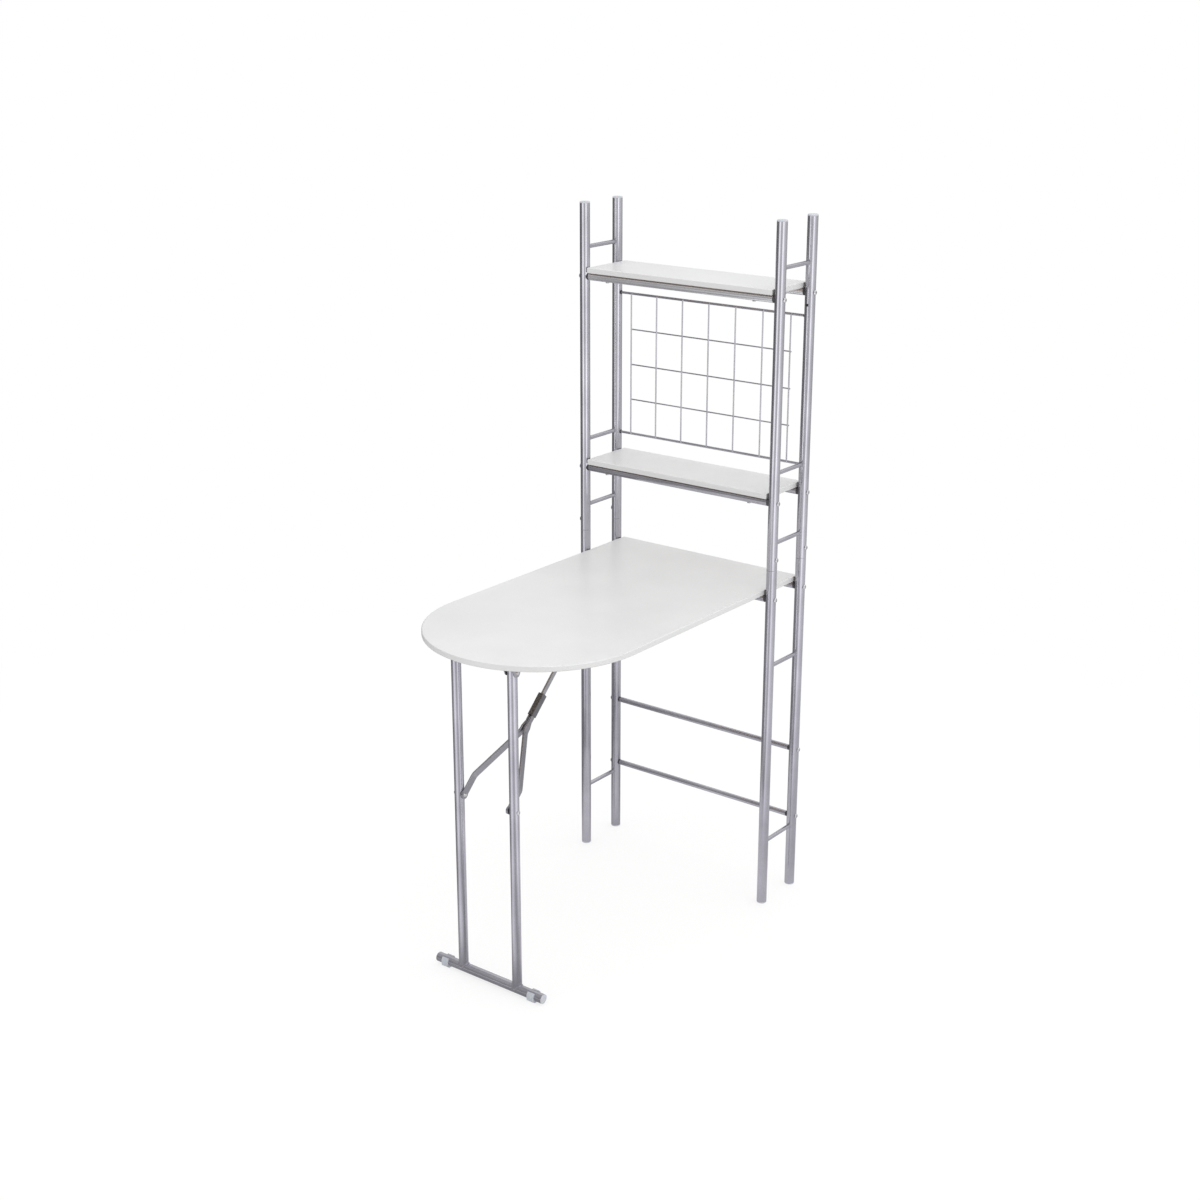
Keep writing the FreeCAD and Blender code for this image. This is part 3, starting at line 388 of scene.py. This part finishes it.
def pickFaces(piece, wanted):
    # leaves edit mode on, with only the wanted faces selected
    bpy.ops.object.mode_set(mode="EDIT")
    bpy.ops.mesh.select_mode(type="FACE")
    bpy.ops.mesh.select_all(action="DESELECT")
    bpy.ops.object.mode_set(mode="OBJECT")
    for face in piece.data.polygons:
        face.select = wanted(face.center, face.normal)
    bpy.ops.object.mode_set(mode="EDIT")


def applyModifier(piece, kind, **settings):
    clearSelection()
    modifier = piece.modifiers.new(kind.lower(), kind)
    for label, value in settings.items():
        setattr(modifier, label, value)
    bpy.context.view_layer.objects.active = piece
    piece.select_set(True)
    bpy.ops.object.modifier_apply(modifier=modifier.name)


def softenEdges(piece, look):
    applyModifier(piece, "BEVEL", width=look["softEdge"], segments=look["softSteps"],
                  limit_method="ANGLE", angle_limit=bevelAngle)


def carve(piece, tool, operation="DIFFERENCE"):
    applyModifier(piece, "BOOLEAN", object=tool, operation=operation, solver="EXACT")
    bpy.data.objects.remove(tool)


def addRound(sides, radius, low, high, turn=(0.0, 0.0, 0.0)):
    # a rod along its own Z from low to high, then turned about the origin
    clearSelection()
    bpy.ops.mesh.primitive_cylinder_add(vertices=sides, radius=radius, depth=high - low)
    rod = bpy.context.object
    rod.data.transform(Matrix.Translation((0.0, 0.0, (low + high) / 2)))
    rod.rotation_euler = turn
    bpy.ops.object.transform_apply(location=True, rotation=True, scale=True)
    return rod


def addBar(width, length, low, high, turn=0.0):
    clearSelection()
    bpy.ops.mesh.primitive_cube_add(size=1.0)
    bar = bpy.context.object
    bar.scale = (width, length, high - low)
    bar.location = (0.0, 0.0, (low + high) / 2)
    bar.rotation_euler = (0.0, 0.0, turn)
    bpy.ops.object.transform_apply(location=True, rotation=True, scale=True)
    return bar


def islandBoxes(nodeName):
    # one box for each solid of a node, lowest and highest corner
    mesh = frame["nodes"][nodeName].data
    spots = [tuple(round(value, spotDigits) for value in vertex.co) for vertex in mesh.vertices]
    leader = {spot: spot for spot in spots}

    def follow(spot):
        while leader[spot] != spot:
            spot = leader[spot]
        return spot

    for face in mesh.polygons:
        first = follow(spots[face.vertices[0]])
        for index in face.vertices[1:]:
            leader[follow(spots[index])] = first
    groups = {}
    for spot in leader:
        groups.setdefault(follow(spot), []).append(spot)
    return [(Vector([min(axis) for axis in zip(*group)]), Vector([max(axis) for axis in zip(*group)]))
            for group in groups.values()]


def standing(spot, up, along):
    # puts a model's Z along up and its X along along, with its origin at spot
    side = up.cross(along)
    turn = Matrix((along, side, up)).transposed().to_4x4()
    return Matrix.Translation(spot) @ turn


def setOut(model, name, places, body, slot):
    # copies a model to every place, joins the copies into one piece and drops the model
    copies = []
    for place in places:
        copy = model.copy()
        copy.data = model.data.copy()
        copy.data.transform(place)
        bpy.context.scene.collection.objects.link(copy)
        copies.append(copy)
    bpy.data.objects.remove(model)
    clearSelection()
    for copy in copies:
        copy.select_set(True)
    bpy.context.view_layer.objects.active = copies[0]
    if len(copies) > 1:
        bpy.ops.object.join()
    piece = bpy.context.view_layer.objects.active
    piece.name = name
    piece.data.name = name
    bpy.ops.object.shade_smooth_by_angle(angle=smoothAngle)
    piece.data.materials.clear()
    piece.data.materials.append(finishes[slot])
    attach(piece, body)
    return piece


buttonBolt = {
    # the crown's steps in and up, as shares of radius and height
    "crown": [(0.10, 0.24), (0.14, 0.20), (0.20, 0.16), (0.16, 0.06)],
    "rimShare": 0.34, "socketShare": 0.52, "socketDepthShare": 0.62, "socketSides": 6,
    "sides": 40, "softEdge": 0.00012, "softSteps": 2, "turnStep": 23.0,
}
panScrew = {
    "crown": [(0.06, 0.28), (0.14, 0.22), (0.22, 0.12), (0.20, 0.05)],
    "rimShare": 0.33, "slotShare": 1.10, "slotWidthShare": 0.22, "slotDepthShare": 0.60,
    "sides": 36, "softEdge": 0.0001, "softSteps": 1, "turnStep": 31.0,
}


def modelHead(look, radius, height, shank, length):
    # a domed head standing on the XY plane, with its shank below
    rim = height * look["rimShare"]
    head = addRound(look["sides"], radius, 0.0, rim)
    pickFaces(head, lambda centre, normal: normal.z > flatShare)
    for stepIn, stepUp in look["crown"]:
        bpy.ops.mesh.inset(thickness=radius * stepIn)
        bpy.ops.transform.translate(value=(0.0, 0.0, height * stepUp))
    pickFaces(head, lambda centre, normal: normal.z < -flatShare)
    bpy.ops.mesh.inset(thickness=radius - shank)
    bpy.ops.mesh.extrude_region_move(TRANSFORM_OT_translate={"value": (0.0, 0.0, -length)})
    bpy.ops.object.mode_set(mode="OBJECT")
    return head


def modelButtonBolt(look, radius, height, shank, length):
    head = modelHead(look, radius, height, shank, length)
    low = height * (1 - look["socketDepthShare"])
    carve(head, addRound(look["socketSides"], radius * look["socketShare"], low, height * 2))
    softenEdges(head, look)
    return head


def modelPanScrew(look, radius, height, shank, length):
    head = modelHead(look, radius, height, shank, length)
    low = height * (1 - look["slotDepthShare"])
    for turn in (0.0, math.pi / 2):  # the two arms of the cross
        carve(head, addBar(radius * look["slotWidthShare"], radius * look["slotShare"], low, height * 2, turn))
    softenEdges(head, look)
    return head


fastenerSets = [  # node, new piece, body, axis of the shank, head height, shank radius
    ("rail_bolts", "rackBolts", "rack", 0, 0.003, 0.003),
    ("seam_bolts", "seamBolts", "rack", 0, 0.003, 0.003),
    ("desk_pivot_bolts", "deskPivotBolts", "rack", 0, 0.003, 0.003),
    ("brace_leg_bolts", "braceLegBolts", "leg", 0, 0.0024, 0.0025),
    ("upper_shelf_screws", "upperShelfScrews", "rack", 2, 0.0022, 0.002),
    ("lower_shelf_screws", "lowerShelfScrews", "rack", 2, 0.0022, 0.002),
    ("top_rail_screws", "topRailScrews", "top", 2, 0.0022, 0.002),
    ("bracket_screws", "bracketScrews", "top", 2, 0.0022, 0.002),
]


def makeFasteners(nodeName, pieceName, body, axis, height, shank):
    boxes = islandBoxes(nodeName)
    low, high = boxes[0]
    radius = (high.y - low.y) / 2
    length = (high - low)[axis] - height
    look, modelIt = (buttonBolt, modelButtonBolt) if axis == 0 else (panScrew, modelPanScrew)
    model = modelIt(look, radius, height, shank, length)
    places = []
    for index, (low, high) in enumerate(boxes):
        middle = (low + high) / 2
        if axis == 0:
            out = max(abs(low.x), abs(high.x)) - height
            seat = Vector((math.copysign(out, middle.x), middle.y, middle.z))
            way, across = alongX * math.copysign(1.0, middle.x), alongZ
        else:
            seat = Vector((middle.x, middle.y, low.z + height))
            way, across = -alongZ, alongX
        # no two stop at one angle
        turned = Matrix.Rotation(math.radians(look["turnStep"] * index), 4, "Z")
        places.append(standing(seat, way, across) @ turned)
    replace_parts(setOut(model, pieceName, places, body, "zinc_fasteners"), nodeName)


for row in fastenerSets:
    makeFasteners(*row)
print("bolts and screws set out")

weldBead = {
    "bead": 0.0013, "inside": 0.0006, "voxel": 0.0004, "sides": 64,
    "ripple": 0.0005, "rippleSize": 0.0022, "rippleMiddle": 0.5,
    "smoothShare": 0.6, "smoothRounds": 6, "keptShare": 0.5,
    "blankReach": 3, "cutReach": 4,  # in rod radii
}
footBead = {**weldBead, "bead": 0.0018}


def modelWeld(look, rodRadius, tubeRadius):
    # the bead where a rod along Z lands on a tube along X
    acrossWay = (0.0, math.pi / 2, 0.0)
    reach = tubeRadius + look["bead"]
    blank, cut = rodRadius * look["blankReach"], rodRadius * look["cutReach"]
    bead = addRound(look["sides"], rodRadius + look["bead"], 0.0, reach)
    carve(bead, addRound(look["sides"], reach, -blank, blank, acrossWay), "INTERSECT")
    carve(bead, addRound(look["sides"], rodRadius - look["inside"], -reach, reach * 2))
    carve(bead, addRound(look["sides"], tubeRadius - look["inside"], -cut, cut, acrossWay))
    applyModifier(bead, "REMESH", mode="VOXEL", voxel_size=look["voxel"])
    applyModifier(bead, "SMOOTH", factor=look["smoothShare"], iterations=look["smoothRounds"])
    ripples = bpy.data.textures.new("weldRipples", "CLOUDS")
    ripples.noise_scale = look["rippleSize"]
    applyModifier(bead, "DISPLACE", texture=ripples, strength=look["ripple"], mid_level=look["rippleMiddle"])
    applyModifier(bead, "DECIMATE", ratio=look["keptShare"])
    return bead


def makeRungWelds():
    for side in ("left", "right"):
        places = []
        for half in ("lower", "upper"):
            for low, high in islandBoxes(f"rungs_{half}_{side}"):
                middle = (low + high) / 2
                rungRadius = (high.z - low.z) / 2
                postLow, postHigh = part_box(f"post_{half}_{side}_front")
                rearLow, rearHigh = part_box(f"post_{half}_{side}_rear")
                postRadius = (postHigh.y - postLow.y) / 2
                frontY, rearY = (postLow.y + postHigh.y) / 2, (rearLow.y + rearHigh.y) / 2
                for y, way in ((frontY, alongY), (rearY, -alongY)):
                    places.append(standing(Vector((middle.x, y, middle.z)), way, alongZ))
        model = modelWeld(weldBead, rungRadius, postRadius)
        setOut(model, f"rungWelds{side.capitalize()}", places, "rack", "silver_paint")


def makeFootWelds():
    barLow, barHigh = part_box("foot_bar")
    barMiddle = (barLow + barHigh) / 2
    barRadius = (barHigh.z - barLow.z) / 2
    places = []
    for side in ("left", "right"):
        low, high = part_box(f"leg_tube_{side}")
        spot = Vector(((low.x + high.x) / 2, barMiddle.y, barMiddle.z))
        places.append(standing(spot, alongZ, alongX))
    model = modelWeld(footBead, (high.y - low.y) / 2, barRadius)
    setOut(model, "footWelds", places, "leg", "silver_paint")


makeRungWelds()
makeFootWelds()
print("weld beads laid")

gridGrommet = {
    "radius": 0.0046, "lip": 0.0038, "bore": 0.0028, "sunk": 0.0014, "proud": 0.0007, "lipRise": 0.0008,
    "sides": 32, "softEdge": 0.0003, "softSteps": 2,
}
postEyelet = {**gridGrommet, "radius": 0.0031, "lip": 0.0026, "bore": 0.0018, "sides": 24, "aboveGrid": 0.0237}
spotWeld = {
    "radius": 0.0022, "half": 0.0005, "domeIn": 0.0008, "domeUp": 0.0004,
    "sides": 14, "softEdge": 0.0003, "softSteps": 1,
    "columns": 7, "pitch": 0.0685, "rows": 5, "behindCarrier": 0.00255, "carrier": 0.00275,
}


def modelGrommet(look):
    # a flanged ring with its flange on the XY plane
    ring = addRound(look["sides"], look["radius"], -look["sunk"], look["proud"])
    pickFaces(ring, lambda centre, normal: normal.z > flatShare)
    bpy.ops.mesh.inset(thickness=look["radius"] - look["lip"])
    bpy.ops.mesh.extrude_region_move(TRANSFORM_OT_translate={"value": (0.0, 0.0, look["lipRise"])})
    bpy.ops.mesh.inset(thickness=look["lip"] - look["bore"])
    down = -look["lipRise"] - look["proud"]
    bpy.ops.mesh.extrude_region_move(TRANSFORM_OT_translate={"value": (0.0, 0.0, down)})
    bpy.ops.object.mode_set(mode="OBJECT")
    softenEdges(ring, look)
    return ring


def modelSpotWeld(look):
    # the small pressed bead between two crossing wires, lying along Y
    bead = addRound(look["sides"], look["radius"], -look["half"], look["half"])
    for way in (1.0, -1.0):
        pickFaces(bead, lambda centre, normal: normal.z * way > flatShare)
        bpy.ops.mesh.inset(thickness=look["domeIn"])
        bpy.ops.transform.translate(value=(0.0, 0.0, look["domeUp"] * way))
    bpy.ops.object.mode_set(mode="OBJECT")
    softenEdges(bead, look)
    return bead


def makeGridDetails():
    low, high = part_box("wire_grid")
    levels = (low.z + spotWeld["carrier"], high.z - spotWeld["carrier"])
    rings = []
    for side, inward in (("left", alongX), ("right", -alongX)):
        postLow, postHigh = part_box(f"post_upper_{side}_rear")
        face = postHigh.x if side == "left" else postLow.x
        carrierY = (postLow.y + postHigh.y) / 2
        for z in levels:
            rings.append(standing(Vector((face, carrierY, z)), inward, alongZ))
    setOut(modelGrommet(gridGrommet), "gridGrommets", rings, "rack", "dark_plastic")
    # only the right rear post, the last one above, has an eyelet
    front = Vector(((postLow.x + postHigh.x) / 2, postLow.y, levels[1] + postEyelet["aboveGrid"]))
    eyelet = standing(front, -alongY, alongZ)
    setOut(modelGrommet(postEyelet), "postEyelet", [eyelet], "rack", "dark_plastic")
    beads = []
    for row in range(spotWeld["rows"]):
        z = levels[0] + (levels[1] - levels[0]) * row / (spotWeld["rows"] - 1)
        for column in range(spotWeld["columns"]):
            x = spotWeld["pitch"] * (column - (spotWeld["columns"] - 1) / 2)
            spot = Vector((x, carrierY - spotWeld["behindCarrier"], z))
            beads.append(standing(spot, alongY, alongZ))
    setOut(modelSpotWeld(spotWeld), "gridWelds", beads, "rack", slotOf["wire_grid"])


makeGridDetails()
print("grid grommets, eyelet and spot welds in place")

plainWhite = (1.0, 1.0, 1.0, 1.0)
floorLook = {
    "size": 240.0, "low": (0.96, 0.96, 0.96), "high": (0.98, 0.98, 0.98), "cloudScale": 0.8, "markScale": 20.0,
    "legSpot": (0.0, -0.37, 0.0), "besideShare": 0.35,
    "dimmedNear": (0.2, 1.8, 0.72), "dimmedFoot": (0.02, 0.16, 0.40),  # from, to, the least that is left
    "evenInside": (0.30, 0.60), "even": (1.08, 1.08, 1.11), "whiteFrom": (0.6, 2.4), "whiteLeast": 0.7,
    "farFrom": (1.8, 4.0), "nearBlue": 1.03, "farBlue": 1.0,
    # the light and dark sides of the room as the gloss sees them, close by and further out
    "mirrored": [
        (0.0, 0.30), (0.08, 0.28), (0.15, 0.50), (0.215, 1.60), (0.26, 1.25), (0.325, 0.62), (0.375, 0.90),
        (0.43, 1.65), (0.48, 1.15), (0.56, 0.85), (0.68, 0.74), (0.80, 0.45), (0.90, 0.32), (1.0, 0.30),
    ],
    "mirroredFar": [
        (0.0, 0.15), (0.08, 0.15), (0.15, 0.36), (0.215, 2.15), (0.26, 1.35), (0.325, 0.58), (0.375, 0.95),
        (0.43, 2.25), (0.48, 1.25), (0.56, 0.80), (0.68, 0.66), (0.80, 0.36), (0.90, 0.19), (1.0, 0.15),
    ],
}


def addRamp(tree, around, stops, blue):
    # greys set round the compass
    ramp = addNode(tree, "ShaderNodeValToRGB")
    marks = ramp.color_ramp.elements
    for index, (spot, grey) in enumerate(stops):
        mark = marks[index] if index < 2 else marks.new(spot)  # a new ramp has two
        mark.position, mark.color = spot, (grey, grey, grey * blue, 1.0)
    tree.links.new(around, ramp.inputs["Fac"])
    return ramp.outputs["Color"]


def makeFloor(look):
    clearSelection()
    bpy.ops.mesh.primitive_plane_add(size=look["size"])
    floor = bpy.context.object
    floor.name = "studioFloor"
    finish, tree, shader, place = startFinish("studioFloorPaint", {"sockets": {"Specular IOR Level": 0.0}})
    tone = useTone(tree, place, look)
    paint = mixColours(tree, tone.outputs["Cloud"], look["low"], look["high"])
    tree.links.new(paint, shader.inputs["Base Color"])
    around = addNode(tree, "ShaderNodeTexGradient", gradient_type="RADIAL")
    tree.links.new(place, around.inputs["Vector"])
    nearBy = addRamp(tree, around.outputs["Fac"], look["mirrored"], look["nearBlue"])
    farOff = addRamp(tree, around.outputs["Fac"], look["mirroredFar"], look["farBlue"])
    mirrored = addNode(tree, "ShaderNodeEmission")
    middle = addNode(tree, "ShaderNodeVectorMath", operation="LENGTH")
    tree.links.new(place, middle.inputs[0])
    streaks = mixColours(tree, spread(tree, middle.outputs["Value"], *look["farFrom"]), nearBy, farOff)
    # no streaks under the table
    inner = spread(tree, middle.outputs["Value"], *look["evenInside"], 1.0, 0.0)
    tree.links.new(mixColours(tree, inner, streaks, look["even"]), mirrored.inputs["Color"])
    fromLeg = addNode(tree, "ShaderNodeVectorMath", operation="SUBTRACT")
    fromLeg.inputs[1].default_value = look["legSpot"]
    tree.links.new(place, fromLeg.inputs[0])
    away = addNode(tree, "ShaderNodeVectorMath", operation="LENGTH")
    tree.links.new(fromLeg.outputs["Vector"], away.inputs[0])
    split = addNode(tree, "ShaderNodeSeparateXYZ")
    tree.links.new(fromLeg.outputs["Vector"], split.inputs["Vector"])
    beside = combine(tree, "MAXIMUM", combine(tree, "ABSOLUTE", split.outputs["Y"], 0.0),
                     combine(tree, "MULTIPLY", away.outputs["Value"], look["besideShare"]))
    dim = spread(tree, away.outputs["Value"], *look["dimmedNear"], 1.0)
    dimmer = spread(tree, beside, *look["dimmedFoot"], 1.0)
    tree.links.new(combine(tree, "MULTIPLY", dim, dimmer), mirrored.inputs["Strength"])
    either = addNode(tree, "ShaderNodeMixShader")
    ray = addNode(tree, "ShaderNodeLightPath")
    tree.links.new(ray.outputs["Is Glossy Ray"], either.inputs["Fac"])
    tree.links.new(shader.outputs["BSDF"], either.inputs[1])
    tree.links.new(mirrored.outputs["Emission"], either.inputs[2])
    paper = addNode(tree, "ShaderNodeEmission")  # the camera sees bare white further out
    paper.inputs["Color"].default_value = plainWhite
    whiter = spread(tree, away.outputs["Value"], *look["whiteFrom"], look["whiteLeast"], 1.0)
    outer = combine(tree, "MULTIPLY", whiter, ray.outputs["Is Camera Ray"])
    ground = addNode(tree, "ShaderNodeMixShader")
    tree.links.new(outer, ground.inputs["Fac"])
    tree.links.new(either.outputs["Shader"], ground.inputs[1])
    tree.links.new(paper.outputs["Emission"], ground.inputs[2])
    tree.links.new(ground.outputs["Shader"], tree.nodes["Material Output"].inputs["Surface"])
    floor.data.materials.append(finish)


lightLook = {
    "zenith": (1.0, 1.0, 1.0), "horizon": (0.44, 0.44, 0.445), "lift": (0.0, 0.7),
    "skyStrength": 1.15, "backdrop": 1.0, "fill": 1.09,
    "darkWay": (-0.8, -0.6, 0.0), "darkFrom": (-0.1, 0.5), "darkShare": 0.42, "fillDarkShare": 0.75,
    "softboxes": [  # name, spot, aim, width, height, power
        ("keySoftbox", (1.2, -0.3, 4.2), (0.0, 0.0, 0.75), 2.4, 2.4, 37.0),
    ],
}


def makeLights(look):
    world = bpy.data.worlds.new("studioWorld")
    bpy.context.scene.world = world
    world.use_nodes = True
    tree = world.node_tree
    tree.nodes.clear()
    place = addNode(tree, "ShaderNodeTexCoord").outputs["Generated"]
    split = addNode(tree, "ShaderNodeSeparateXYZ")
    tree.links.new(place, split.inputs["Vector"])
    lift = spread(tree, split.outputs["Z"], *look["lift"])
    sky = addNode(tree, "ShaderNodeBackground")
    shaded = addNode(tree, "ShaderNodeVectorMath", operation="DOT_PRODUCT")  # the room's darker side
    shaded.inputs[1].default_value = look["darkWay"]
    tree.links.new(place, shaded.inputs[0])
    dim = spread(tree, shaded.outputs["Value"], *look["darkFrom"], 1.0, look["darkShare"])
    tree.links.new(combine(tree, "MULTIPLY", dim, look["skyStrength"]), sky.inputs["Strength"])
    tree.links.new(mixColours(tree, lift, look["horizon"], look["zenith"]), sky.inputs["Color"])
    backdrop = addNode(tree, "ShaderNodeBackground")
    backdrop.inputs["Color"].default_value = plainWhite
    backdrop.inputs["Strength"].default_value = look["backdrop"]
    fill = addNode(tree, "ShaderNodeBackground")
    fill.inputs["Color"].default_value = plainWhite
    softer = spread(tree, shaded.outputs["Value"], *look["darkFrom"], 1.0, look["fillDarkShare"])
    tree.links.new(combine(tree, "MULTIPLY", softer, look["fill"]), fill.inputs["Strength"])
    ray = addNode(tree, "ShaderNodeLightPath")
    lit = addNode(tree, "ShaderNodeMixShader")  # gloss sees the graded sky, the rest an even fill
    seen = addNode(tree, "ShaderNodeMixShader")  # the camera sees a white backdrop
    tree.links.new(ray.outputs["Is Glossy Ray"], lit.inputs["Fac"])
    tree.links.new(fill.outputs["Background"], lit.inputs[1])
    tree.links.new(sky.outputs["Background"], lit.inputs[2])
    tree.links.new(ray.outputs["Is Camera Ray"], seen.inputs["Fac"])
    tree.links.new(lit.outputs["Shader"], seen.inputs[1])
    tree.links.new(backdrop.outputs["Background"], seen.inputs[2])
    tree.links.new(seen.outputs["Shader"], addNode(tree, "ShaderNodeOutputWorld").inputs["Surface"])
    for name, spot, aim, width, height, power in look["softboxes"]:
        bpy.ops.object.light_add(type="AREA", location=spot)
        softbox = bpy.context.object
        softbox.name = name
        softbox.data.shape = "RECTANGLE"
        softbox.data.size, softbox.data.size_y, softbox.data.energy = width, height, power
        softbox.rotation_euler = (Vector(aim) - Vector(spot)).to_track_quat("-Z", "Y").to_euler()
        softbox.visible_glossy = False  # the graded sky and floor give the gloss
        softbox.data.use_shadow = False  # the fill alone gives the soft shade


cameraLook = {
    "spot": (2.2482, -2.8917, 1.9771), "turn": (71.26, 0.0, 37.68),
    "lens": 56.253, "sensor": 36.0, "reach": 400.0,
}


def makeCamera(look):
    bpy.ops.object.camera_add(location=look["spot"], rotation=[math.radians(angle) for angle in look["turn"]])
    camera = bpy.context.object
    camera.name = "photoCamera"
    camera.data.lens = look["lens"]
    camera.data.sensor_width = look["sensor"]
    camera.data.clip_end = look["reach"]
    bpy.context.scene.camera = camera


makeFloor(floorLook)
makeLights(lightLook)
makeCamera(cameraLook)
bpy.context.scene.view_settings.view_transform = "Standard"
print("floor, lights and camera in place")
